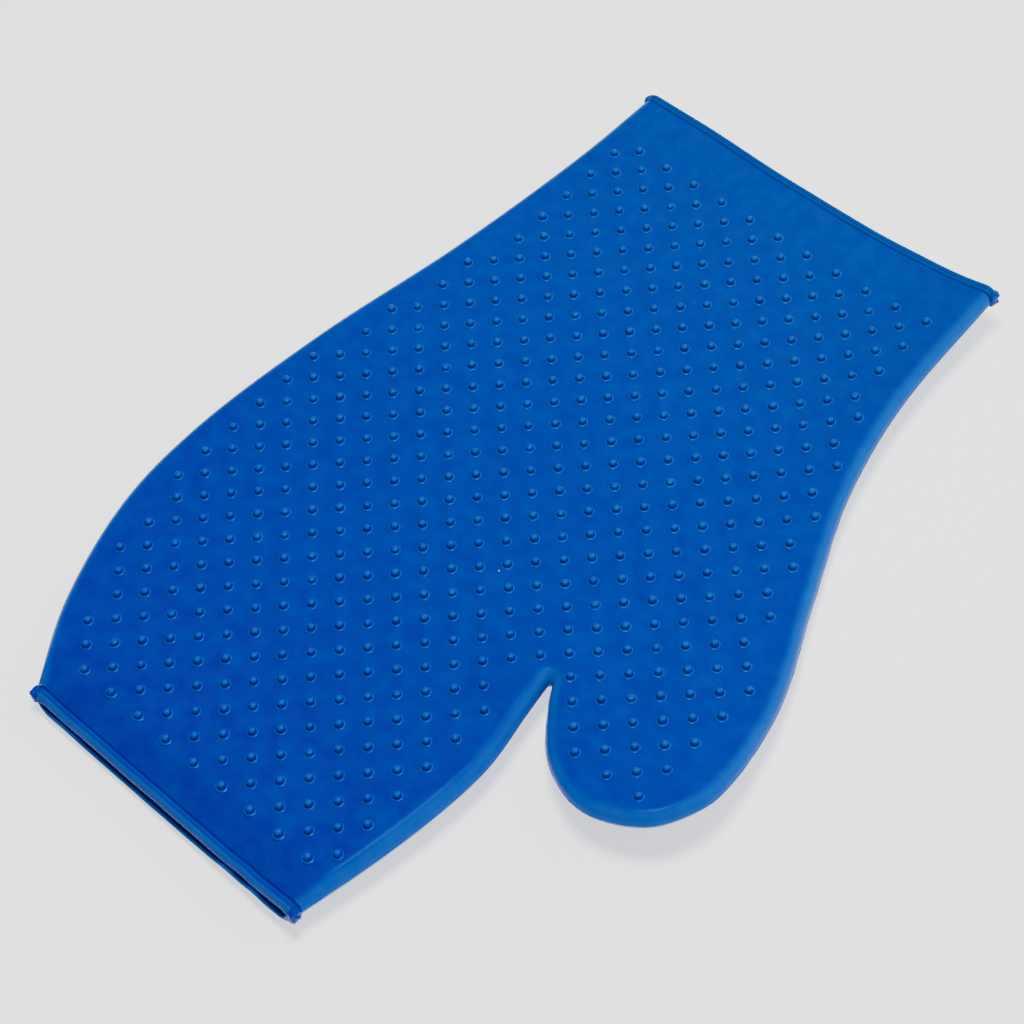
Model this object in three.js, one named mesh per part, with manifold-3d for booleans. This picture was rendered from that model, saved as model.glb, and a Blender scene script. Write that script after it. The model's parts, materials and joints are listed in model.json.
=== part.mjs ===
// A rubber mitt: two moulded sheets joined along their sides, open at the wrist and at the
// finger end, with fine nubs on the front and coarser ones on the back.
// Millimetres. +Z is out of the front, +Y towards the wrist, +X towards the thumb.
// The origin is under the middle of the mitt, on the surface it lies on.
// The rubber bends along two lines, so the shells are split there and turn about hinge axes.
import * as THREE from "three";
import * as BufferGeometryUtils from "three/addons/utils/BufferGeometryUtils.js";
import Module from "manifold-3d";

const wasm = await Module();
wasm.setup();

// Driving dimensions.
const halfLength = 121.85;
const sheetThickness = 1.6;
const hollowHeight = 4.4;
const proud = 1.5;
const wallWidth = 3.6;
const rimWidth = 3.5;
const gap = 0.3;
const cornerFlare = 0.9;
const pathStep = 5;

// Heights, from the surface up.
const backSkin = proud;
const hollowFloor = backSkin + sheetThickness;
const hollowRoof = hollowFloor + hollowHeight;
const frontSkin = hollowRoof + sheetThickness;
const totalHeight = frontSkin + proud;

// Fine nubs stand on a square grid turned 45 degrees, so their rows are half a diagonal apart.
const finePitch = 7;
const fineRow = finePitch / Math.SQRT2;
const fineRadius = 1.15;
const fineSides = 5;
const gridX = 1.1;
const gridY = 3.55;
const coarsePitch = 14;
const coarseRow = coarsePitch / Math.SQRT2;
const coarseRadius = 2.4;
const coarseTopRadius = 1.7;
const coarseSides = 6;
const nubRoot = 0.4;

// Bend lines, each half way between two rows of fine nubs. The finger line runs along X and
// the thumb line along X - Y = constant.
const fingerLineY = gridY - 11.5 * fineRow;
const thumbLine = gridX - gridY + 19 * fineRow;
const crotchSplitX = 42.5;

// The side of the mitt under the little finger, and the side with the thumb, as far as the
// crotch and from there along the fingers.
const outerPoints = [
  [-59.8, -halfLength],
  [-73.9, -99.7],
  [-84.7, -70.1],
  [-87.4, -42.3],
  [-84, 0.5],
  [-76.4, 46.8],
  [-71.7, 93.6],
  [-70.9, halfLength],
];
const thumbPoints = [
  [49.3, halfLength],
  [51.1, 79.1],
  [57.8, 48.5],
  [70, 19.5],
  [82.9, -9.1],
  [88.1, -34.1],
  [87.5, -42.4],
  [81.2, -54.3],
  [66, -60.6],
  [51.3, -55.8],
  [40.6, -44.1],
  [37.5, -39.9],
];
const crotchPoint = [36.7, -39.2];
const fingerPoints = [
  [36.5, -40.4],
  [38.2, -50],
  [40.7, -66],
  [39.8, -84],
  [36.8, -103],
  [32.6, -halfLength],
];

// The part of the sheet that carries fine nubs.
const fineField = [
  [-64, 104],
  [-66, 60],
  [-75.2, 15],
  [-80, -14],
  [-80, -59],
  [-70.5, -92],
  [-56, -112],
  [30, -112],
  [34.5, -80],
  [33, -53],
  [28.5, -48],
  [37, -36],
  [55, -53],
  [77, -53],
  [78, -14],
  [63, 20],
  [52, 52],
  [45.5, 76],
  [43, 104],
];
const coarseInset = 8;
const coarseEnd = 13;

const rubber = {
  front: [0x0650b0, 0.5],
  back: [0x0549a4, 0.55],
  side: [0x0a62c4, 0.45],
  rim: [0x0757b8, 0.45],
};

function material(finish) {
  const [color, roughness] = rubber[finish];
  return new THREE.MeshStandardMaterial({ color, roughness, metalness: 0 });
}

function toSolid(geometry) {
  geometry.deleteAttribute("normal");
  geometry.deleteAttribute("uv");
  const merged = BufferGeometryUtils.mergeVertices(geometry, 1e-4);
  return new wasm.Manifold(new wasm.Mesh({
    numProp: 3,
    vertProperties: merged.attributes.position.array,
    triVerts: new Uint32Array(merged.index.array),
  }));
}

function toMesh(name, solid, finish) {
  const { vertProperties, triVerts } = solid.getMesh();
  const geometry = new THREE.BufferGeometry();
  geometry.setAttribute("position", new THREE.BufferAttribute(vertProperties, 3));
  geometry.setIndex(new THREE.BufferAttribute(triVerts, 1));
  geometry.computeVertexNormals();
  const mesh = new THREE.Mesh(geometry, material(finish));
  mesh.name = name;
  return mesh;
}

// A smooth run of points along one side.
function sideRun(points) {
  const knots = points.map(([x, y]) => new THREE.Vector3(x, y, 0));
  const curve = new THREE.CatmullRomCurve3(knots, false, "centripetal");
  const steps = Math.round(curve.getLength() / pathStep);
  return curve.getSpacedPoints(steps).map((p) => new THREE.Vector2(p.x, p.y));
}

// Both sides as one closed loop, run straight on past the two mouths so that cuts are clean.
function mittOutline() {
  const beyond = halfLength + 12;
  const outer = sideRun(outerPoints);
  const thumb = sideRun(thumbPoints);
  const fingers = sideRun(fingerPoints);
  return [
    new THREE.Vector2(25, -beyond),
    new THREE.Vector2(-51, -beyond),
    ...outer,
    new THREE.Vector2(-70.5, beyond),
    new THREE.Vector2(49.3, beyond),
    ...thumb,
    new THREE.Vector2(...crotchPoint),
    ...fingers,
  ].reverse();
}

// Moves each point of a counter-clockwise loop inwards by the same distance.
function inset(loop, distance) {
  return loop.map((point, i) => {
    const before = loop[(i + loop.length - 1) % loop.length];
    const after = loop[(i + 1) % loop.length];
    const into = point.clone().sub(before).normalize();
    const out = after.clone().sub(point).normalize();
    const normal = new THREE.Vector2(-into.y - out.y, into.x + out.x).normalize();
    const reach = distance / Math.max(0.5, -into.y * normal.x + into.x * normal.y);
    return point.clone().addScaledVector(normal, reach);
  });
}

function slab(loop, low, high) {
  const geometry = new THREE.ExtrudeGeometry(new THREE.Shape(loop), {
    depth: high - low,
    bevelEnabled: false,
  });
  return toSolid(geometry.translate(0, 0, low));
}

function block(x0, x1, y0, y1, z0, z1) {
  const geometry = new THREE.BoxGeometry(x1 - x0, y1 - y0, z1 - z0);
  return toSolid(geometry.translate((x0 + x1) / 2, (y0 + y1) / 2, (z0 + z1) / 2));
}

// Everything on the far side of the finger bend line, moved back by a clearance.
function fingerSpace(clearance) {
  return block(-200, crotchSplitX, -200, fingerLineY - clearance, -5, 20);
}

// Everything on the far side of the thumb bend line, moved back by a clearance.
function thumbSpace(clearance) {
  const geometry = new THREE.BoxGeometry(200, 400, 25);
  geometry.translate(100 + thumbLine / Math.SQRT2 + clearance, 0, 7.5);
  geometry.rotateZ(-Math.PI / 4);
  return toSolid(geometry).subtract(block(-200, crotchSplitX, -200, 200, -5, 20));
}

function palmPart(solid) {
  return solid.subtract(fingerSpace(-gap / 2)).subtract(thumbSpace(-gap / 2));
}

function fingerPart(solid) {
  return solid.intersect(fingerSpace(gap / 2));
}

function thumbPart(solid) {
  return solid.intersect(thumbSpace(gap / 2));
}

function insideLoop(loop, x, y) {
  let inside = false;
  loop.forEach((a, i) => {
    const b = loop[(i + 1) % loop.length];
    const crosses = a.y > y !== b.y > y;
    if (crosses && x < a.x + ((y - a.y) / (b.y - a.y)) * (b.x - a.x)) {
      inside = !inside;
    }
  });
  return inside;
}

// Distance from a bend line, so that no nub is cut by one.
function bendDistance(x, y) {
  const fromThumb = Math.abs(x - y - thumbLine) / Math.SQRT2;
  return Math.min(Math.abs(y - fingerLineY), fromThumb);
}

// Centres of a diagonal grid that fall inside a loop.
function gridInside(loop, row, clear) {
  const centres = [];
  for (let i = -30; i <= 30; i += 1) {
    for (let j = -30; j <= 30; j += 1) {
      const x = gridX + i * row;
      const y = gridY + j * row;
      const onGrid = (i + j) % 2 === 0;
      if (onGrid && insideLoop(loop, x, y) && bendDistance(x, y) > clear) {
        centres.push([x, y]);
      }
    }
  }
  return centres;
}

// All the nubs of one face as a single set of solids, each rooted in the sheet.
function nubs(centres, foot, top, sides, skin, upwards) {
  const height = proud + nubRoot;
  const pieces = centres.map(([x, y]) => {
    const nub = new THREE.CylinderGeometry(top, foot, height, sides);
    nub.rotateX(upwards ? Math.PI / 2 : -Math.PI / 2);
    const middle = upwards ? skin + proud - height / 2 : skin - proud + height / 2;
    nub.deleteAttribute("normal");
    nub.deleteAttribute("uv");
    return nub.translate(x, y, middle);
  });
  return toSolid(BufferGeometryUtils.mergeGeometries(pieces));
}

// A moulded sheet with its nubs. It stops short of the side walls and of the rims.
function sheet(outline, low, high, bumps) {
  const edge = halfLength - rimWidth - gap;
  const plate = slab(inset(outline, wallWidth + gap), low, high);
  return plate.intersect(block(-200, 200, -edge, edge, -5, 20)).add(bumps);
}

// The band that joins the two sheets, half round on its outer face.
function sideBand(outline) {
  const flat = 0.4;
  const round = (frontSkin - backSkin - flat) / 2;
  const core = new THREE.ExtrudeGeometry(new THREE.Shape(inset(outline, wallWidth - 0.1)), {
    depth: flat,
    bevelThickness: round,
    bevelSize: wallWidth - 0.1,
    bevelSegments: 3,
  });
  const whole = toSolid(core.translate(0, 0, backSkin + round));
  const end = halfLength - rimWidth - gap;
  return whole
    .subtract(slab(inset(outline, wallWidth), -5, 20))
    .intersect(block(-200, 200, -end, end, -5, 20));
}

// Where a side run crosses a height across the mitt.
function sideX(points, y) {
  const run = sideRun(points);
  const next = run.findIndex((p, i) => i > 0 && (p.y - y) * (run[i - 1].y - y) <= 1e-6);
  const [a, b] = [run[next - 1], run[next]];
  return a.x + ((y - a.y) / (b.y - a.y)) * (b.x - a.x);
}

// A block at the end of a side wall, a little proud of it, that both rim beads run into.
function corner(points, end, outwards) {
  const inner = end * (halfLength - rimWidth);
  const outer = end * halfLength;
  const reach = wallWidth + 0.9;
  const loop = [
    new THREE.Vector2(sideX(points, inner) + outwards * cornerFlare, inner),
    new THREE.Vector2(sideX(points, outer) + outwards * cornerFlare, outer),
    new THREE.Vector2(sideX(points, outer) - outwards * reach, outer),
    new THREE.Vector2(sideX(points, inner) - outwards * reach, inner),
  ];
  return slab(loop, 0, totalHeight);
}

// The raised bead along one lip of a mouth: a bar with its outer edges rounded off.
function rim(outer, inner, end, low, high) {
  const round = 1;
  const flip = low > 0 ? 1 : -1;
  const skin = low > 0 ? high : low;
  const root = low > 0 ? low : high;
  const section = new THREE.Shape();
  section.moveTo(0, root);
  section.lineTo(0, skin - flip * round);
  section.quadraticCurveTo(0, skin, round, skin);
  section.lineTo(rimWidth - round, skin);
  section.quadraticCurveTo(rimWidth, skin, rimWidth, skin - flip * round);
  section.lineTo(rimWidth, root);
  const length = inner - outer;
  const bar = new THREE.ExtrudeGeometry(section, {
    depth: length,
    bevelEnabled: false,
    curveSegments: 3,
  });
  bar.rotateY(Math.PI / 2);
  bar.rotateX(Math.PI / 2);
  const start = end > 0 ? halfLength - rimWidth : -halfLength;
  return toSolid(bar.translate(outer, start, 0));
}

// One rim between the two corner blocks at an end, clear of both.
function rimBetween(sidePoints, end, low, high) {
  const reach = wallWidth + 0.9 + gap;
  const near = end * (halfLength - rimWidth);
  const far = end * halfLength;
  const left = Math.max(sideX(outerPoints, near), sideX(outerPoints, far)) + reach;
  const right = Math.min(sideX(sidePoints, near), sideX(sidePoints, far)) - reach;
  return rim(left, right, end, low, high);
}

const outline = mittOutline();
const fineLoop = fineField.map(([x, y]) => new THREE.Vector2(x, y));
const fineCentres = gridInside(fineLoop, fineRow, fineRadius + 0.5);
const coarseLoop = inset(outline, coarseInset).map((p) => {
  const limit = halfLength - coarseEnd;
  return new THREE.Vector2(p.x, Math.max(-limit, Math.min(limit, p.y)));
});
const coarseCentres = gridInside(coarseLoop, coarseRow, coarseRadius + 0.5);
const fineNubs = nubs(fineCentres, fineRadius, 0, fineSides, frontSkin, true);
const coarseNubs = nubs(coarseCentres, coarseRadius, coarseTopRadius, coarseSides, backSkin, false);
const front = sheet(outline, hollowRoof, frontSkin, fineNubs);
const back = sheet(outline, backSkin, hollowFloor, coarseNubs);
const band = sideBand(outline);
const outerHalf = band.intersect(block(-200, 0, -200, 200, -5, 20));
const thumbHalf = band.intersect(block(0, 200, -200, 200, -5, 20));
const upperThumbHalf = palmPart(thumbHalf).intersect(block(0, 200, -30, 200, -5, 20));
const web = palmPart(thumbHalf).intersect(block(0, 60, -200, -30, -5, 20));

const mitt = new THREE.Group();
mitt.add(
  toMesh("palm_front_panel", palmPart(front), "front"),
  toMesh("palm_back_panel", palmPart(back), "back"),
  toMesh("palm_side_wall_outer", palmPart(outerHalf), "side"),
  toMesh("palm_side_wall_thumb", upperThumbHalf, "side"),
  toMesh("palm_web_wall", web, "side"),
  toMesh("wrist_rim_front", rimBetween(thumbPoints, 1, hollowRoof, totalHeight), "rim"),
  toMesh("wrist_rim_back", rimBetween(thumbPoints, 1, 0, hollowFloor), "rim"),
  toMesh("wrist_corner_outer", corner(outerPoints, 1, -1), "rim"),
  toMesh("wrist_corner_thumb", corner(thumbPoints, 1, 1), "rim"),
  toMesh("finger_front_panel", fingerPart(front), "front"),
  toMesh("finger_back_panel", fingerPart(back), "back"),
  toMesh("finger_side_wall_outer", fingerPart(outerHalf), "side"),
  toMesh("finger_side_wall_inner", fingerPart(thumbHalf), "side"),
  toMesh("finger_rim_front", rimBetween(fingerPoints, -1, hollowRoof, totalHeight), "rim"),
  toMesh("finger_rim_back", rimBetween(fingerPoints, -1, 0, hollowFloor), "rim"),
  toMesh("finger_corner_outer", corner(outerPoints, -1, -1), "rim"),
  toMesh("finger_corner_inner", corner(fingerPoints, -1, 1), "rim"),
  toMesh("thumb_front_panel", thumbPart(front), "front"),
  toMesh("thumb_back_panel", thumbPart(back), "back"),
  toMesh("thumb_side_wall", thumbPart(thumbHalf), "side"),
);

export default mitt;
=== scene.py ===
import json
import math
import random
import bmesh
import bpy
from mathutils import Matrix, Quaternion, Vector, kdtree, noise
from mathutils.geometry import delaunay_2d_cdt, interpolate_bezier


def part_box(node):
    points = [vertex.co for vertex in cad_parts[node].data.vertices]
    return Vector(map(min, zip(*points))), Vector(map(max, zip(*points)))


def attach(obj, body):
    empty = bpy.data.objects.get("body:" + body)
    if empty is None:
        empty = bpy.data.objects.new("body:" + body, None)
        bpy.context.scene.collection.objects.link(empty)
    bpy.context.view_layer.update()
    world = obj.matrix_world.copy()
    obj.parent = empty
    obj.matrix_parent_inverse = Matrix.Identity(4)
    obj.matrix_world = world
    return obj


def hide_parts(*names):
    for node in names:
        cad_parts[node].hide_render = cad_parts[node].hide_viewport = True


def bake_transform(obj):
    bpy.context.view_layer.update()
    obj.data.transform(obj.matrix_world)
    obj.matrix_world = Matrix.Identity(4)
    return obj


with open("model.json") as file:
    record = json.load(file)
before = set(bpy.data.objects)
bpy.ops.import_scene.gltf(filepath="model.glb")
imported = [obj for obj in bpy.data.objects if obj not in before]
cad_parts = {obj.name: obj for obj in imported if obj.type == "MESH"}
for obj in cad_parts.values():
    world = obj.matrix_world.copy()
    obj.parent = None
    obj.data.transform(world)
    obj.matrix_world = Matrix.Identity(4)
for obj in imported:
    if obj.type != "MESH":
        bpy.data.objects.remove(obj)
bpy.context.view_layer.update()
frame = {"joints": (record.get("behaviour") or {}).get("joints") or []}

mm = 0.001

# heights and lengths come from the CAD nodes, in millimetres
wallLow, wallHigh = [corner[2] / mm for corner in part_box("palm_side_wall_outer")]
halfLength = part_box("wrist_rim_front")[1][1] / mm
midHeight = (wallLow + wallHigh) / 2
halfThick = (wallHigh - wallLow) / 2
bendFingerY = frame["joints"][0]["pos_m"][1] / mm
bendThumb = (frame["joints"][1]["pos_m"][0] - frame["joints"][1]["pos_m"][1]) / mm

# what shapes the whole mitt, millimetres
mitt = {
    "sheet": 1.6,  # thickness of the rubber
    "rimDepth": 3.15,  # the sheets and sides stop this far in from the lips
    "rimRoom": 4.6,  # and have no mesh rows but the last one nearer a mouth than this
    "wall": 3.6,  # how far in the rounded side reaches
    "squareFrom": 9,  # the sides turn square to a mouth from this far in
    "squareOver": 8,
    "step": 2.2,  # spacing of the mesh along the sides
    "spanPoints": 40,  # points worked out on the curve between two given ones
    "cell": 2.5,  # spacing of the mesh across the sheets
    "rowHeight": 0.866,  # of even triangles, in cells
    "edgeClear": 0.62,  # how near the sheet's edge a point may come, in cells
    "crotch": (37.2, -39.9),
    "crotchRadius": 0.7,
    "crotchArc": (172, 41),  # degrees, from the fingers' side to the thumb's
    "crotchSteps": (7, 4),  # before the seam and after it
    "seamAngle": 75,  # where the thumb's sheets part from the palm's, round the crotch
    "seamTopY": 12,
    "fingerZone": 11.9,  # how far either side of a bend line the ends of a blend zone are worked out; nothing uses them
    "thumbZone": 8.8,
}
creases = {"sheet": 50, "side": 60, "nub": 60, "rim": 70, "collar": 50}  # degrees that stay sharp
hair = 0.1  # as near as on the spot, millimetres
outerSide = [(-59.8, -halfLength), (-73.9, -99.7), (-84.7, -70.1), (-87.4, -42.3), (-84, 0.5),
             (-76.4, 46.8), (-71.7, 93.6), (-70.9, halfLength)]
thumbSide = [(49.3, halfLength), (51.1, 79.1), (57.8, 48.5), (70, 19.5), (82.9, -9.1), (88.1, -34.1),
             (87.5, -42.4), (81.2, -54.3), (66, -60.6), (51.3, -55.8), (40.6, -44.1), (37.7, -39.4)]
fingerSide = [(36.55, -39.7), (38.2, -50), (40.7, -66), (39.8, -84), (36.8, -103), (32.6, -halfLength)]


def smoothRun(points, step):
    # a centripetal spline through the points, walked in equal steps
    knots = [Vector(p) for p in points]
    knots = [knots[0] * 2 - knots[1]] + knots + [knots[-1] * 2 - knots[-2]]
    line = []
    for a, b, c, d in zip(knots, knots[1:], knots[2:], knots[3:]):
        ab, bc, cd = [(q - p).length ** 0.5 for p, q in ((a, b), (b, c), (c, d))]
        leave = ((b - a) / ab - (c - a) / (ab + bc) + (c - b) / bc) * bc
        arrive = ((c - b) / bc - (d - b) / (bc + cd) + (d - c) / cd) * bc
        line += interpolate_bezier(b, b + leave / 3, c - arrive / 3, c, mitt["spanPoints"])[:-1]
    line.append(knots[-2])
    lengths = [0]
    for p, q in zip(line, line[1:]):
        lengths.append(lengths[-1] + (q - p).length)
    count = round(lengths[-1] / step)
    run, k = [], 0
    for i in range(count + 1):
        wanted = lengths[-1] * i / count
        while k < len(line) - 2 and lengths[k + 1] < wanted:
            k += 1
        part = (wanted - lengths[k]) / (lengths[k + 1] - lengths[k])
        run.append(line[k].lerp(line[k + 1], part))
    return run


def stations(run):
    # each point of a side with its inward normal; the rubber is on the left of the walk
    found = []
    for i, point in enumerate(run):
        along = (run[min(i + 1, len(run) - 1)] - run[max(i - 1, 0)]).normalized()
        found.append((point, Vector((-along.y, along.x))))
    return found


def crotchStations(start, end, count):
    # the same, round the closed end of the gap between the fingers and the thumb
    centre = Vector(mitt["crotch"])
    found = []
    for i in range(count + 1):
        angle = math.radians(start + (end - start) * i / count)
        normal = Vector((math.cos(angle), math.sin(angle)))
        found.append((centre + normal * mitt["crotchRadius"], normal))
    return found


def smooth(t):
    t = max(0.0, min(1.0, t))
    return t * t * (3 - 2 * t)


# the four side walks, anticlockwise round the mitt
outerWalk = stations(smoothRun(outerSide[::-1], mitt["step"]))
wholeThumb = stations(smoothRun(thumbSide[::-1], mitt["step"]))
seamTop = min(range(len(wholeThumb) // 2, len(wholeThumb)),
              key=lambda i: abs(wholeThumb[i][0].y - mitt["seamTopY"]))
fingerWalk = stations(smoothRun(fingerSide[::-1], mitt["step"]))
crotchStart, crotchEnd = mitt["crotchArc"]
beforeSeam, afterSeam = mitt["crotchSteps"]
fingerWalk += crotchStations(crotchStart, mitt["seamAngle"], beforeSeam)[1:]
thumbWalk = crotchStations(mitt["seamAngle"], crotchEnd, afterSeam)[:-1] + wholeThumb[:seamTop + 1]
upperWalk = wholeThumb[seamTop:]


def sideX(walk, y):
    # where a side stands at y, near a mouth, and how wide its round is there
    ends = sorted(walk, key=lambda s: abs(s[0].y - y))[:2]
    (p, n), (q, _) = ends
    x = p.x + (q.x - p.x) * (y - p.y) / (q.y - p.y)
    return x, mitt["wall"] / n.x


# how the mitt has curled up off the table, millimetres
curl = {
    # a rise starts at "from" and grows as the square of the way past it
    "fingerSide": {"rise": 0.76, "from": -26.4, "over": 30, "fadeY": -25, "fadeOver": 19.4},
    "wristSide": {"rise": 5.0, "from": 11.4, "over": 40, "fromY": 31, "overY": 60},
    "thumbTip": {"rise": 3.75, "from": 75.3, "over": 40, "pastCrotch": 5},  # along the thumb
    "crotch": {"rise": 1.3, "x": 37, "y": -41, "wide": 13},
}


def wayPast(place, spec):
    return max(0.0, place - spec["from"]) / spec["over"]


def lift(x, y):
    finger, wrist, thumb, crotch = curl.values()
    fade = 1 + math.exp((y - finger["fadeY"]) / finger["fadeOver"])
    rise = finger["rise"] * wayPast(x, finger) ** 2 / fade
    rise += wrist["rise"] * wayPast(x, wrist) ** 2 * max(0.0, y - wrist["fromY"]) / wrist["overY"]
    if x > mitt["crotch"][0] + thumb["pastCrotch"]:
        rise += thumb["rise"] * wayPast((x - y) / math.sqrt(2), thumb) ** 2
    away = (x - crotch["x"]) ** 2 + (y - crotch["y"]) ** 2
    return rise + crotch["rise"] * math.exp(-away / crotch["wide"] ** 2)


def mouthSides(end):
    left = sideX(outerWalk, end * halfLength)[0]
    right = sideX(upperWalk if end > 0 else fingerWalk, end * halfLength)[0]
    return left, right


# how the lips have sunk together, millimetres; 1 stands for the wrist and -1 for the finger end
mouthSpan = {1: mouthSides(1), -1: mouthSides(-1)}
slump = {
    "frontDrop": {1: 0.3, -1: 2.8},
    "backRise": {1: 0.4, -1: -0.75},  # below zero it sinks too
    "reach": 13,  # how far in from the lips it starts
    "atCorner": {1: 0.8, -1: 0.75},  # the share that is left at the corners
    "cornerReach": 10,
    "pinches": [(9.5, 1.5, 3.4), (19, 1.5, 2.6), (-49, 1.3, 6)],  # where, how deep, how wide
    "pinchReach": 6,
}


def nearMouth(y, reach):
    return smooth((abs(y) - halfLength + reach) / reach)


def closing(x, y, front):
    # how far a lip sinks towards the other one
    end = 1 if y > 0 else -1
    left, right = mouthSpan[end]
    atCorner = slump["atCorner"][end]
    middle = atCorner + (1 - atCorner) * smooth(min(x - left, right - x) / slump["cornerReach"])
    moved = slump["frontDrop" if front else "backRise"][end] * nearMouth(y, slump["reach"]) * middle
    if end < 0:
        for where, deep, wide in slump["pinches"]:
            pinch = deep / 2 * nearMouth(y, slump["pinchReach"])
            moved += pinch * math.exp(-((x - where) / wide) ** 2)
    return moved


def settle(x, y, height, front):
    # turns a height above the mid plane of the flat mitt into one on the mitt as it lies
    share = height / halfThick
    toward = closing(x, y, front) * share
    if front:
        return midHeight + height - toward + lift(x, y)
    return midHeight - height + toward + lift(x, y)


# how far the lips reach past the CAD's half length, millimetres
lips = {
    "finger": 1.3,
    "backFurther": 0.45,  # past the parting line; the front lip stops as much short of it
    "waver": 0.15,
    "waverOften": 0.09,
    "wrist": -0.5,
    "slant": {"from": -20, "over": 35},  # the wrist's outer side reaches further
    "bulge": {"out": 0.6, "x": 26, "wide": 13},
}


def lipY(x, end, side):
    # how far out a lip reaches: side 1 is the front one, -1 the back one, 0 the parting line
    if end < 0:
        waver = lips["waver"] * noise.noise(Vector((x * lips["waverOften"], side, 0)))
        reach = lips["finger"] - lips["backFurther"] * side + waver
    else:
        slant, bulge = lips["slant"], lips["bulge"]
        reach = smooth((slant["from"] - x) / slant["over"]) + lips["wrist"]
        reach += bulge["out"] * math.exp(-((x - bulge["x"]) / bulge["wide"]) ** 2)
    return end * (halfLength + reach)


def sheetEnd(x, end, side):
    return lipY(x, end, side) - end * mitt["rimDepth"]


def paintedLightLayer(bm):
    # read by the materials as painted light: above 0 the rubber is painted paler, as painted highlight,
    # below 0 darker, as painted shade
    return bm.verts.layers.float.get("paleAndPaintedLight") or bm.verts.layers.float.new("paleAndPaintedLight")


def finishPiece(name, bm, body, slot, material, sharp):
    # millimetres to metres, a named object at the origin, smooth with sharp creases
    paintedLightLayer(bm)
    bmesh.ops.scale(bm, vec=(mm, mm, mm), verts=bm.verts)
    mesh = bpy.data.meshes.new(name)
    bm.to_mesh(mesh)
    bm.free()
    mesh.shade_smooth()
    mesh.set_sharp_from_angle(angle=math.radians(sharp))
    mesh.materials.append(material)
    piece = bpy.data.objects.new(name, mesh)
    bpy.context.collection.objects.link(piece)
    if body == "fingersBlend":
        zone = mitt["fingerZone"]
        start, end = (0, (bendFingerY + zone) * mm, 0), (0, (bendFingerY - zone) * mm, 0)
        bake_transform(piece)
        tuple(start)
        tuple(end)
    elif body == "thumbBlend":
        middle = bendThumb / 2
        reach = mitt["thumbZone"] / math.sqrt(2)
        start = ((middle - reach) * mm, (reach - middle) * mm, 0)
        end = ((middle + reach) * mm, (-reach - middle) * mm, 0)
        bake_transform(piece)
        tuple(start)
        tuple(end)
    else:
        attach(piece, body)
    print(name, len(mesh.polygons), "faces")
    return piece


class Wire:
    # one output of a node; arithmetic on it adds Math nodes
    def __init__(self, graph, socket):
        self.graph = graph
        self.socket = socket

    def calc(self, operation, first, second):
        node = self.graph.tree.nodes.new("ShaderNodeMath")
        node.operation = operation
        for slot, value in zip(node.inputs, (first, second)):
            self.graph.feed(slot, value)
        return Wire(self.graph, node.outputs[0])

    def __add__(self, other):
        return self.calc("ADD", self, other)

    def __radd__(self, other):
        return self.calc("ADD", other, self)

    def __sub__(self, other):
        return self.calc("SUBTRACT", self, other)

    def __rsub__(self, other):
        return self.calc("SUBTRACT", other, self)

    def __mul__(self, other):
        return self.calc("MULTIPLY", self, other)

    def __rmul__(self, other):
        return self.calc("MULTIPLY", other, self)

    def __gt__(self, other):
        return self.calc("GREATER_THAN", self, other)

    def __lt__(self, other):
        return self.calc("LESS_THAN", self, other)


class Graph:
    def __init__(self, name):
        self.material = bpy.data.materials.new(name)
        self.material.use_nodes = True
        self.tree = self.material.node_tree
        self.tree.nodes.clear()

    def feed(self, slot, value):
        if isinstance(value, Wire):
            self.tree.links.new(value.socket, slot)
        else:
            slot.default_value = value

    def add(self, kind, settings, sockets, output=0):
        node = self.tree.nodes.new(kind)
        for key, value in settings.items():
            setattr(node, key, value)
        for key, value in sockets.items():
            self.feed(node.inputs[key], value)
        return Wire(self, node.outputs[output]) if node.outputs else None

    def mixColour(self, factor, first, second):
        return self.add("ShaderNodeMix", {"data_type": "RGBA"}, {0: factor, 6: first, 7: second}, 2)

    def noise(self, place, scale, detail):
        return self.add("ShaderNodeTexNoise", {}, {"Vector": place, "Scale": scale, "Detail": detail})

    def bump(self, strength, distance, height, sockets):
        return self.add("ShaderNodeBump", {}, {"Strength": strength, "Distance": distance,
                                               "Height": height, **sockets})


# colours are linear; scales are in waves per metre
rubberLook = {
    # the finger end is darker and the wrist end paler and greener: painted light, standing for the lamps
    # falling more on the wrist end
    "deep": (0.0, 0.007, 0.255, 1),
    "wrist": (0.0, 0.038, 0.26, 1),
    # the two pale colours take random mottle and the painted highlights; the darkest colour takes the
    # painted shade
    "paleTint": (0.0, 0.125, 0.5, 1),
    "paleTeal": (0.0, 0.11, 0.33, 1),
    "paintedShade": (0.0, 0.003, 0.07, 1),
    "dust": (0.12, 0.42, 0.7, 1),
    "specularTint": (0.1, 0.6, 1.0, 1),
    "roughness": 0.27,
    # each noise: its scale, then its detail
    "clouds": (16, 3),
    "mottle": (210, 4),
    "grain": (1700, 2),
    "waves": (48, 1),
    "wristMiddle": 0.42,  # share of the wrist's colour halfway along the mitt; the paler wrist end is painted light
    "wristGain": 3.6,  # and how fast it grows, for each metre
    "cloudy": 0.3,
    "mottled": 0.35,
    "mottledRoughness": 0.18,
    # a few cells hold a speck of dust
    "speckCells": 170,
    "speckSize": 0.045,
    "speckRarity": 0.955,
    "speckCover": 0.75,
    "speckRoughness": 0.2,
    # each bump: its strength, then its distance in metres
    "skinBump": (0.35, 0.00012),
    "waveBump": (0.5, 0.0003),
    "relief": {"grain": 0.35, "mottle": 0.9, "speck": 0.8},
}


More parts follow.
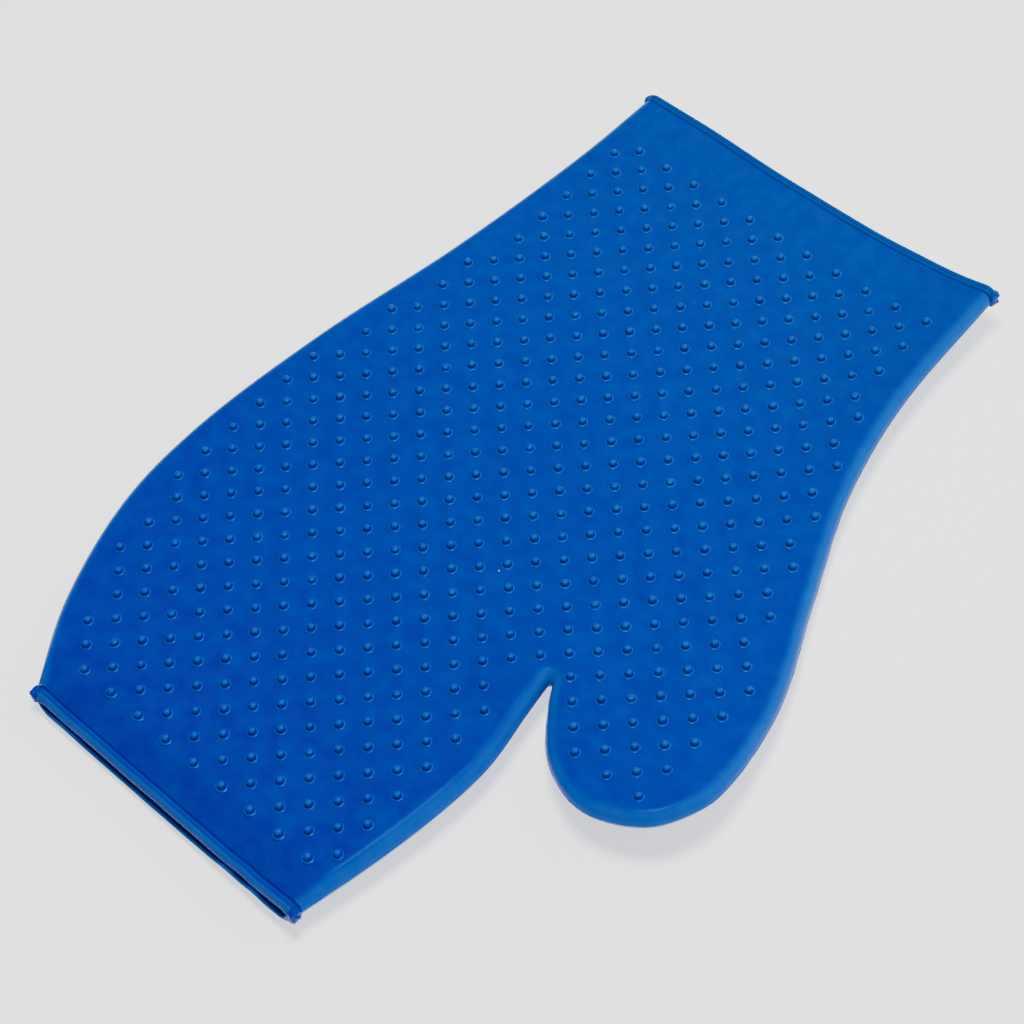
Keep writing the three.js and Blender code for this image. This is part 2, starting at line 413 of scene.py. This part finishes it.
def rubber(name, paleTint=0.06, shine=0.08, pale="paleTint"):
    look = rubberLook
    graph = Graph(name)
    place = graph.add("ShaderNodeTexCoord", {}, {}, 3)
    along = graph.add("ShaderNodeSeparateXYZ", {}, {0: place}, 1)
    clouds = graph.noise(place, *look["clouds"])
    mottle = graph.noise(place, *look["mottle"])
    grain = graph.noise(place, *look["grain"])
    waves = graph.noise(place, *look["waves"])
    # painted light growing towards the wrist end, varied by random clouds of tone
    paintedWristLightAndClouds = along * look["wristGain"] + look["wristMiddle"] + (clouds - 0.5) * look["cloudy"]
    colour = graph.mixColour(paintedWristLightAndClouds, look["deep"], look["wrist"])
    # the mesh's painted light: above 0 the colour is mixed paler, as painted highlight, below 0 darker, as
    # painted shade
    paintedLightMark = graph.add("ShaderNodeAttribute", {"attribute_name": "paleAndPaintedLight"}, {}, 2)
    paleAndPaintedLight = (mottle - 0.5) * look["mottled"] + paleTint + paintedLightMark
    colour = graph.mixColour(paleAndPaintedLight, colour, look[pale])
    colour = graph.mixColour(paintedLightMark * -1, colour, look["paintedShade"])
    cells = {"Vector": place, "Scale": look["speckCells"]}
    tag = graph.add("ShaderNodeTexVoronoi", {}, cells, 1)
    chosen = graph.add("ShaderNodeSeparateColor", {}, {0: tag}) > look["speckRarity"]
    speck = (graph.add("ShaderNodeTexVoronoi", {}, cells) < look["speckSize"]) * chosen
    colour = graph.mixColour(speck * look["speckCover"], colour, look["dust"])
    roughness = look["roughness"] + (mottle - 0.5) * look["mottledRoughness"]
    roughness = roughness + speck * look["speckRoughness"]
    weight = look["relief"]
    relief = grain * weight["grain"] + mottle * weight["mottle"] + speck * weight["speck"]
    skin = graph.bump(*look["skinBump"], relief, {})
    bump = graph.bump(*look["waveBump"], waves, {"Normal": skin})
    shader = graph.add("ShaderNodeBsdfPrincipled", {}, {
        "Base Color": colour, "Roughness": roughness, "Normal": bump,
        "Specular IOR Level": shine, "Specular Tint": look["specularTint"]})
    graph.add("ShaderNodeOutputMaterial", {}, {0: shader})
    return graph.material


frontRubber = rubber("nubbed front rubber")
backRubber = rubber("nubbed back rubber")
sideRubber = rubber("side wall rubber", shine=0.05)
rimRubber = rubber("rim rubber", 0.1, 0.04, "paleTeal")
nubRubber = rubber("nub rubber", 0.12, 0.14)
print("materials made")


def onMouth(y):
    return abs(y) > halfLength - hair


def wallPoint(station, angle, depth=0.0):
    # a point of the rounded side, angle degrees up from the parting line, depth into the rubber
    point, normal = station
    side = normal
    near = smooth((abs(point.y) - halfLength + mitt["squareFrom"]) / mitt["squareOver"])
    if near > 0:
        side = normal.lerp(Vector((1 / normal.x, 0)), near)
    turn = math.radians(angle)
    flat = point + side * (mitt["wall"] - (mitt["wall"] - depth) * math.cos(turn))
    rise = math.sin(turn)
    if onMouth(point.y):
        wanted = sheetEnd(point.x, 1 if point.y > 0 else -1, rise)
        flat.x -= (wanted - flat.y) * normal.y / normal.x
        flat.y = wanted
    height = (halfThick - depth - closing(flat.x, flat.y, rise > 0) * abs(rise)) * rise
    return Vector((flat.x, flat.y, midHeight + height + lift(flat.x, flat.y)))


def straight(first, last, step):
    count = max(2, round((last - first).length / step))
    return [first.lerp(last, i / count) for i in range(1, count)]


def mouthLine(first, last, end, side):
    points = straight(first, last, mitt["cell"])
    return [Vector((p.x, sheetEnd(p.x, end, side))) for p in points]


def insetWalk(walk, side=1):
    return [wallPoint(station, 90 * side).xy for station in walk]


def trimmed(walk):
    # leaves room beside the mouths for the rims
    return [s for s in walk if onMouth(s[0].y) or abs(s[0].y) <= halfLength - mitt["rimRoom"]]


crotchInset = insetWalk(fingerWalk)[-1]
seamTopInset = insetWalk(upperWalk)[0]
seamLine = straight(crotchInset, seamTopInset, mitt["step"])


def insideLoop(loop, p):
    inside = False
    for a, b in zip(loop, loop[1:] + loop[:1]):
        if (a.y > p.y) != (b.y > p.y) and p.x < a.x + (p.y - a.y) / (b.y - a.y) * (b.x - a.x):
            inside = not inside
    return inside


def sheetSurface(loop, front):
    # one moulded sheet's outer face: triangles of even size inside its plan
    tree = kdtree.KDTree(len(loop))
    for i, p in enumerate(loop):
        tree.insert(p.to_3d(), i)
    tree.balance()
    points = [p.copy() for p in loop]
    cell = mitt["cell"]
    low = Vector((min(p.x for p in loop), min(p.y for p in loop)))
    high = Vector((max(p.x for p in loop), max(p.y for p in loop)))
    for j in range(int((high.y - low.y) / cell / mitt["rowHeight"]) + 1):
        for i in range(int((high.x - low.x) / cell) + 1):
            p = low + Vector((i + 0.5 * (j % 2), j * mitt["rowHeight"])) * cell
            if insideLoop(loop, p) and tree.find(p.to_3d())[2] > cell * mitt["edgeClear"]:
                points.append(p)
    edges = [(i, (i + 1) % len(loop)) for i in range(len(loop))]
    keepInside, nearest = 1, 1e-4
    flat, _, faces, _, _, _ = delaunay_2d_cdt(points, edges, [], keepInside, nearest)
    bm = bmesh.new()
    verts = [bm.verts.new((p.x, p.y, settle(p.x, p.y, halfThick, front))) for p in flat]
    for face in faces:
        bm.faces.new([verts[i] for i in face])
    bmesh.ops.recalc_face_normals(bm, faces=bm.faces)
    upward = sum(f.normal.z * f.calc_area() for f in bm.faces)
    if (upward > 0) != front:
        bmesh.ops.reverse_faces(bm, faces=bm.faces)
    return bm


def thicken(bm, name):
    # gives a sheet its thickness inwards and closes its edges
    mesh = bpy.data.meshes.new(name)
    bm.to_mesh(mesh)
    bm.free()
    holder = bpy.data.objects.new(name, mesh)
    bpy.context.collection.objects.link(holder)
    solidify = holder.modifiers.new("thickness", "SOLIDIFY")
    solidify.thickness = mitt["sheet"]
    solidify.offset = -1
    solidify.use_even_offset = False
    graph = bpy.context.evaluated_depsgraph_get()
    result = bmesh.new()
    result.from_object(holder, graph)
    bpy.data.objects.remove(holder)
    bpy.data.meshes.remove(mesh)
    return result


def mainPlan(side):
    finger, upper, outer = [insetWalk(trimmed(w), side) for w in (fingerWalk, upperWalk, outerWalk)]
    plan = finger + seamLine + upper + mouthLine(upper[-1], outer[0], 1, side)
    return plan + outer + mouthLine(outer[-1], finger[0], -1, side)


thumbPlan = insetWalk(thumbWalk) + seamLine[::-1]
sheets = [
    ("frontSheet", mainPlan(1), True, "fingersBlend", "nubbed_front", frontRubber,
     ["palm_front_panel", "finger_front_panel"]),
    ("backSheet", mainPlan(-1), False, "fingersBlend", "nubbed_back", backRubber,
     ["palm_back_panel", "finger_back_panel"]),
    ("thumbFrontSheet", thumbPlan, True, "thumbBlend", "nubbed_front", frontRubber,
     ["thumb_front_panel"]),
    ("thumbBackSheet", thumbPlan, False, "thumbBlend", "nubbed_back", backRubber,
     ["thumb_back_panel"]),
]
for name, plan, front, body, slot, material, nodes in sheets:
    bm = thicken(sheetSurface(plan, front), name)
    piece = finishPiece(name, bm, body, slot, material, creases["sheet"])
    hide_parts(*nodes)
print("sheets moulded")


def sweep(places, corners, pointAt, paintedLightAt):
    # a closed section carried along the places, one extruded row at a time
    bm = bmesh.new()
    paleAndPaintedLight = paintedLightLayer(bm)
    tag = bm.verts.layers.int.new("corner")
    verts = bmesh.ops.create_circle(bm, segments=corners, radius=1, cap_ends=True)["verts"]
    for corner, vert in enumerate(verts):
        vert[tag] = corner
        vert[paleAndPaintedLight] = paintedLightAt(corner)
        vert.co = pointAt(places[0], corner)
    edges = list(bm.edges)
    for place in places[1:]:
        grown = bmesh.ops.extrude_edge_only(bm, edges=edges)["geom"]
        fresh = set(g for g in grown if isinstance(g, bmesh.types.BMVert))
        for vert in fresh:
            vert[paleAndPaintedLight] = paintedLightAt(vert[tag])
            vert.co = pointAt(place, vert[tag])
        edges = [g for g in grown if isinstance(g, bmesh.types.BMEdge)
                 and g.verts[0] in fresh and g.verts[1] in fresh]
    bmesh.ops.contextual_create(bm, geom=edges)
    bmesh.ops.recalc_face_normals(bm, faces=bm.faces)
    return bm


# the rounded sides
sideWall = {
    # degrees up from the parting line, where a low ridge is left
    "outside": [90, 78, 66, 54, 42, 30, 19, 10, 4.5, 0, -4.5, -10, -19, -30, -42, -54, -66, -78, -90],
    "inside": [-90, -68, -45, -22, 0, 22, 45, 68, 90],
    "ridge": 0.16,
    "ridgeWaver": 0.6,  # a share of its height
    "waverOften": 0.3,
    "waverSlice": 3,  # the part of the noise that it is taken from
    # painted light on the side round, standing for the light it catches: paler towards the parting line, a
    # painted highlight on the ridge, painted shade inside
    "paleAndPaintedLight": 0.4,
    "paintedLightOver": 42,  # degrees below a sheet's edge over which it comes on
    "ridgePaintedHighlight": 0.7,
    "insidePaintedShade": -0.3,
}
sideSection = [(angle, 0) for angle in sideWall["outside"]]
sideSection += [(angle, mitt["sheet"]) for angle in sideWall["inside"]]


def sidePoint(station, corner):
    angle, depth = sideSection[corner]
    if angle == 0 and depth == 0:
        spot = Vector((*station[0], sideWall["waverSlice"])) * sideWall["waverOften"]
        depth = -sideWall["ridge"] * (1 + sideWall["ridgeWaver"] * noise.noise(spot))
    return wallPoint(station, angle, depth)


def sidePaintedLight(corner):
    # painted light: paler towards the parting line, palest on its ridge as a painted highlight, darker on
    # the inside faces as painted shade
    angle, depth = sideSection[corner]
    if depth > 0:
        return sideWall["insidePaintedShade"]
    if angle == 0:
        return sideWall["ridgePaintedHighlight"]
    return sideWall["paleAndPaintedLight"] * smooth((90 - abs(angle)) / sideWall["paintedLightOver"])


sides = [
    ("outerSide", outerWalk, "fingersBlend", ["palm_side_wall_outer", "finger_side_wall_outer"]),
    ("fingerInnerSide", fingerWalk, "fingersBlend", ["palm_web_wall", "finger_side_wall_inner"]),
    ("thumbRoundSide", thumbWalk, "thumbBlend", ["thumb_side_wall"]),
    ("wristThumbSide", upperWalk, "palm", ["palm_side_wall_thumb"]),
]
for name, walk, body, nodes in sides:
    bm = sweep(trimmed(walk), len(sideSection), sidePoint, sidePaintedLight)
    piece = finishPiece(name, bm, body, "side_wall", sideRubber, creases["side"])
    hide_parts(*nodes)
print("sides rounded")

# the nubs; a profile gives radius and height, and a painted light value for each of its points: paler tops
# and foot ring as painted highlight, darker steep sides as painted shade
fineNubs = {
    "row": 7 / math.sqrt(2),
    "x": 1.1,
    "y": 3.55,
    "bendClear": 1.6,  # no nub stands nearer a bend line
    "sides": 10,
    "profile": [(1.68, -0.03), (1.37, 0.04), (1.2, 0.16), (1.09, 0.42), (1.01, 0.95), (0.68, 1.33),
                (0, 1.5)],
    "paleAndPaintedLight": [0.05, 0.25, 0.05, -0.6, -0.15, 0.25, 0.3],
    "field": [(-64, 104), (-66, 60), (-75.2, 15), (-80, -14), (-80, -59), (-70.5, -92), (-56, -112),
              (30, -112), (34.5, -80), (33, -53), (28.5, -48), (37, -36), (55, -53), (77, -53), (78, -14),
              (63, 20), (52, 52), (45.5, 76), (43, 104)],
}
coarseNubs = {
    "row": 14 / math.sqrt(2),
    "x": 1.1,
    "y": 3.55,
    "bendClear": 2.9,
    "sides": 14,
    "profile": [(3, -0.03), (2.66, 0.05), (2.45, 0.2), (2.3, 0.55), (2.14, 1.05), (1.65, 1.4), (0, 1.5)],
    "paleAndPaintedLight": [0, 0.1, -0.2, -0.35, -0.1, 0.2, 0.25],
    "inset": 8,  # how far in from the sides the field begins
    "end": 13,  # and from the mouths
}
# shares of a nub's own size, as moulding leaves them
nubSpread = {
    "wide": (0.95, 1.05),
    "tall": (0.86, 1.03),
    "low": (0.6, 0.85),
    "mostlyTall": 0.9,
    "backTall": (0.97, 1.03),
}
rowsEachWay = 30  # enough for the finer grid


def gridInside(grid, loop):
    centres = []
    for i in range(-rowsEachWay, rowsEachWay + 1):
        for j in range(-rowsEachWay, rowsEachWay + 1):
            p = Vector((grid["x"] + i * grid["row"], grid["y"] + j * grid["row"]))
            bend = min(abs(p.y - bendFingerY), abs(p.x - p.y - bendThumb) / math.sqrt(2))
            if (i + j) % 2 == 0 and bend > grid["bendClear"] and insideLoop(loop, p):
                centres.append(p)
    return centres


def nubShape(grid):
    # one nub, spun from its profile
    bm = bmesh.new()
    paleAndPaintedLight = paintedLightLayer(bm)
    rim = []
    for (radius, height), nubPaintedLight in zip(grid["profile"], grid["paleAndPaintedLight"]):
        vert = bm.verts.new((radius, 0, height))
        vert[paleAndPaintedLight] = nubPaintedLight
        rim.append(vert)
    edges = [bm.edges.new(pair) for pair in zip(rim, rim[1:])]
    bmesh.ops.spin(bm, geom=rim + edges, cent=(0, 0, 0), axis=(0, 0, 1), angle=math.tau,
                   steps=grid["sides"], use_merge=True)
    bmesh.ops.remove_doubles(bm, verts=bm.verts, dist=0.001)
    foot = [e for e in bm.edges if e.is_boundary]
    bmesh.ops.contextual_create(bm, geom=foot)
    bmesh.ops.recalc_face_normals(bm, faces=bm.faces)
    mesh = bpy.data.meshes.new("nub")
    bm.to_mesh(mesh)
    bm.free()
    return mesh


def slope(x, y):
    # straight up out of the curled mitt
    return Vector((lift(x - 1, y) - lift(x + 1, y), lift(x, y - 1) - lift(x, y + 1), 2)).normalized()


def nubField(name, grid, centres, front, body, slot):
    shape = nubShape(grid)
    dice = random.Random(len(centres))
    bm = bmesh.new()
    for p in centres:
        size = dice.uniform(*nubSpread["wide"])
        tall = dice.uniform(*nubSpread["tall" if dice.random() < nubSpread["mostlyTall"] else "low"])
        if not front:
            tall = min(1.0, dice.uniform(*nubSpread["backTall"]))
        skin = settle(p.x, p.y, halfThick, front)
        tilt = Vector((0, 0, 1)).rotation_difference(slope(p.x, p.y)).to_matrix().to_4x4()
        turn = Matrix.Rotation(dice.uniform(0, math.tau), 4, "Z")
        flip = Matrix() if front else Matrix.Rotation(math.pi, 4, "X")
        grow = Matrix.Diagonal((size, size, tall, 1))
        before = len(bm.verts)
        bm.from_mesh(shape)
        bm.verts.ensure_lookup_table()
        place = Matrix.Translation((p.x, p.y, skin)) @ tilt @ flip @ turn @ grow
        bmesh.ops.transform(bm, matrix=place, verts=bm.verts[before:])
    bpy.data.meshes.remove(shape)
    finishPiece(name, bm, body, slot, nubRubber, creases["nub"])


def onThumb(p):
    # past the seam line between the crotch and the top of the thumb
    across = seamTopInset - crotchInset
    away = p - crotchInset
    return across.x * away.y - across.y * away.x < 0 and p.x > mitt["crotch"][0]


fineLoop = [Vector(p) for p in fineNubs["field"]]
fineCentres = gridInside(fineNubs, fineLoop)
limit = halfLength - coarseNubs["end"]
coarseLoop = []
for point, normal in fingerWalk + thumbWalk + upperWalk + outerWalk:
    q = point + normal * coarseNubs["inset"]
    coarseLoop.append(Vector((q.x, max(-limit, min(limit, q.y)))))
coarseCentres = gridInside(coarseNubs, coarseLoop)
for name, grid, centres, front, slot in (("fineNubs", fineNubs, fineCentres, True, "nubbed_front"),
                                         ("coarseNubs", coarseNubs, coarseCentres, False, "nubbed_back")):
    palmCentres = [p for p in centres if not onThumb(p)]
    thumbCentres = [p for p in centres if onThumb(p)]
    nubField(name, grid, palmCentres, front, "fingersBlend", slot)
    nubField(name + "OnThumb", grid, thumbCentres, front, "thumbBlend", slot)
print("nubs raised:", len(fineCentres), "fine,", len(coarseCentres), "coarse")

# the rim beads
rimBead = {
    "step": 1.1,
    "cornerRows": 7,
    # how far in from the lip, how high over the sheet's outer face and how much painted light: a painted
    # highlight on the crest and lip face, painted shade in the groove; a narrow groove comes first
    "section": [(3.9, -0.9, -0.3), (3.12, -0.22, -0.2), (2.85, -0.18, -0.3), (2.62, 0.02, -0.15),
                (2.35, 0.24, 0.3), (2.05, 0.26, 0), (1.75, 0.36, -0.05), (1.4, 0.62, 0.2),
                (1.05, 0.68, 0.5), (0.75, 0.5, 0.55), (0.45, 0.05, 0.4), (0.2, -0.4, 0.15), (0.05, -0.9, 0),
                (0, -1.35, 0.5), (0.1, -1.62, 0.6), (0.35, -1.75, 0.4), (1, -1.74, 0), (2, -1.68, 0),
                (3.2, -1.55, -0.1), (3.9, -1.35, -0.1)],
}


def rimPoint(end, front, left, part, row, inboard, rise):
    # a point of the bead: part runs along the flat, row counts down round a side
    walkLeft, walkRight = outerWalk, upperWalk if end > 0 else fingerWalk
    guess = mouthSpan[end][0] * (1 - part) + mouthSpan[end][1] * part
    y = lipY(guess, end, (1 if front else -1) * (1 - row)) - end * inboard
    xLeft, wideLeft = sideX(walkLeft, y)
    xRight, wideRight = sideX(walkRight, y)
    angle = math.radians(90 * (1 - row))
    if row > 0:
        edge, wide = (xLeft, wideLeft) if left else (xRight, wideRight)
        x = edge + wide * (1 - math.cos(angle))
        outward = -1 if left else 1
        x += outward * rise * math.cos(angle)
    else:
        x = (xLeft + wideLeft) * (1 - part) + (xRight + wideRight) * part
    height = halfThick * math.sin(angle)
    over = rise * math.sin(angle)
    z = settle(x, y, height, front)
    return Vector((x, y, z + over if front else z - over))


def rimPath(end):
    left, right = mouthSpan[end]
    count = round((right - left) / rimBead["step"])
    rows = rimBead["cornerRows"]
    path = [(True, 0, (rows - k) / rows) for k in range(rows)]
    path += [(True, k / count, 0) for k in range(count + 1)]
    path += [(False, 1, (k + 1) / rows) for k in range(rows)]
    return path


def rimPiece(name, end, front, body, node):
    section = rimBead["section"]

    def pointAt(place, corner):
        left, part, row = place
        return rimPoint(end, front, left, part, row, *section[corner][:2])

    bm = sweep(rimPath(end), len(section), pointAt, lambda corner: section[corner][2])
    piece = finishPiece(name, bm, body, "rim", rimRubber, creases["rim"])
    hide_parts(node)


rimPiece("wristRimFront", 1, True, "palm", "wrist_rim_front")
rimPiece("wristRimBack", 1, False, "palm", "wrist_rim_back")
rimPiece("fingerRimFront", -1, True, "fingers", "finger_rim_front")
rimPiece("fingerRimBack", -1, False, "fingers", "finger_rim_back")
print("rims beaded")

# the corner collars, and the flash left in the corners of the mould
collar = {
    "along": 3.1,
    "out": 1.9,
    "tall": 4.4,
    "rounding": 0.7,
    "rough": 0.35,
    "roughOften": 0.9,
    "roughApart": 7.3,  # how far apart the collars' own parts of the noise are
    "roughSeed": 4,
    "sunkIn": 0.2,
    "proud": 0.15,  # past the lips
    "flash": 2,  # bits on each collar
    "flashOut": (0.5, 0.9),
    "flashAlong": 0.5,
    "flashTall": (0.6, 1),
    "flashTurn": 0.6,
    "flashAtOut": (0.7, 0.95),
    "flashAtAlong": (-0.6, 1),
    "flashAtTall": 1.7,
}
noise.seed_set(collar["roughSeed"])  # the vector noise follows the clock otherwise


def collarPiece(name, walk, end, outward, body, node, seed):
    dice = random.Random(seed)
    bm = bmesh.new()
    bmesh.ops.create_cube(bm, size=1)
    bmesh.ops.scale(bm, vec=(collar["out"], collar["along"], collar["tall"]), verts=bm.verts)
    bmesh.ops.bevel(bm, geom=bm.edges[:] + bm.verts[:], offset=collar["rounding"], segments=2,
                    profile=0.5, affect="EDGES", material=-1)
    bmesh.ops.subdivide_edges(bm, edges=bm.edges, cuts=2, use_grid_fill=True)
    for _ in range(collar["flash"]):
        made = bmesh.ops.create_cube(bm, size=1)["verts"]
        size = (dice.uniform(*collar["flashOut"]), collar["flashAlong"], dice.uniform(*collar["flashTall"]))
        bmesh.ops.scale(bm, vec=size, verts=made)
        turn = Matrix.Rotation(dice.uniform(-collar["flashTurn"], collar["flashTurn"]), 4, "Y")
        spot = Vector((outward * dice.uniform(*collar["flashAtOut"]),
                       end * dice.uniform(*collar["flashAtAlong"]),
                       dice.uniform(-collar["flashAtTall"], collar["flashAtTall"])))
        bmesh.ops.transform(bm, matrix=Matrix.Translation(spot) @ turn, verts=made)
    apart = Vector((seed * collar["roughApart"], 0, 0))
    for vert in bm.verts:
        vert.co += noise.noise_vector(vert.co * collar["roughOften"] + apart) * collar["rough"]
    x, _ = sideX(walk, end * halfLength)
    y = lipY(x, end, 0) - end * (collar["along"] / 2 - collar["proud"])
    x, _ = sideX(walk, y)
    base = Vector((x - outward * collar["sunkIn"], y, midHeight + lift(x, y)))
    bmesh.ops.translate(bm, vec=base, verts=bm.verts)
    bmesh.ops.recalc_face_normals(bm, faces=bm.faces)
    piece = finishPiece(name, bm, body, "rim", rimRubber, creases["collar"])
    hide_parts(node)


collarPiece("wristCollarOuter", outerWalk, 1, -1, "palm", "wrist_corner_outer", 3)
collarPiece("wristCollarThumb", upperWalk, 1, 1, "palm", "wrist_corner_thumb", 5)
collarPiece("fingerCollarOuter", outerWalk, -1, -1, "fingers", "finger_corner_outer", 8)
collarPiece("fingerCollarInner", fingerWalk, -1, 1, "fingers", "finger_corner_inner", 11)
print("collars set")

# the studio, in metres and watts, and the camera, in millimetres and degrees
studio = {
    "world": 0.2,
    "floor": (0.9, 0.9, 0.9, 1),
    "floorSize": 6,
    "floorRoughness": 0.8,
    "floorShine": 0.1,
    "glow": 1.1,  # the floor gives off some light of its own
    "key": {"from": (0.0, 0.03, 0.8), "size": 0.22, "watts": 8.5},
    "window": {"from": (0.2, 1.8, 0.9), "size": 2, "watts": 22},
    "side": {"from": (1.4, 0.9, 0.4), "size": 1.2, "watts": 12},
}
view = {"azimuth": 49.358, "elevation": 56.175, "roll": -7.947, "distance": 600.2,
        "target": (-3.9, -8.8, 9.1), "lens": 83.69, "sensor": 36, "clipStart": 10}


def softLight(name, spec):
    light = bpy.data.lights.new(name, "AREA")
    light.size = spec["size"]
    light.energy = spec["watts"]
    holder = bpy.data.objects.new(name, light)
    holder.location = spec["from"]
    holder.rotation_euler = (-Vector(spec["from"])).to_track_quat("-Z", "Y").to_euler()
    bpy.context.collection.objects.link(holder)


def makeFloor():
    bm = bmesh.new()
    bmesh.ops.create_grid(bm, x_segments=2, y_segments=2, size=studio["floorSize"])
    mesh = bpy.data.meshes.new("floor")
    bm.to_mesh(mesh)
    bm.free()
    graph = Graph("pale floor")
    shader = graph.add("ShaderNodeBsdfPrincipled", {}, {
        "Base Color": studio["floor"], "Roughness": studio["floorRoughness"],
        "Specular IOR Level": studio["floorShine"],
        "Emission Color": (1, 1, 1, 1), "Emission Strength": studio["glow"]})
    graph.add("ShaderNodeOutputMaterial", {}, {0: shader})
    mesh.materials.append(graph.material)
    floor = bpy.data.objects.new("floor", mesh)
    bpy.context.collection.objects.link(floor)


def makeCamera():
    azimuth, elevation = math.radians(view["azimuth"]), math.radians(view["elevation"])
    back = Vector((math.sin(azimuth) * math.cos(elevation), -math.cos(azimuth) * math.cos(elevation),
                   math.sin(elevation)))
    camera = bpy.data.objects.new("camera", bpy.data.cameras.new("camera"))
    camera.data.lens = view["lens"]
    camera.data.sensor_width = view["sensor"]
    camera.data.clip_start = view["clipStart"] * mm
    camera.location = (Vector(view["target"]) + back * view["distance"]) * mm
    turn = back.to_track_quat("Z", "Y") @ Quaternion((0, 0, 1), math.radians(view["roll"]))
    camera.rotation_euler = turn.to_euler()
    bpy.context.collection.objects.link(camera)
    bpy.context.scene.camera = camera


makeFloor()
makeCamera()
for lightName in ("key", "window", "side"):
    softLight(lightName, studio[lightName])
world = bpy.data.worlds.new("studio")
world.use_nodes = True
sky = world.node_tree.nodes["Background"]
sky.inputs["Color"].default_value = (1, 1, 1, 1)
sky.inputs["Strength"].default_value = studio["world"]
bpy.context.scene.world = world
print("studio ready")
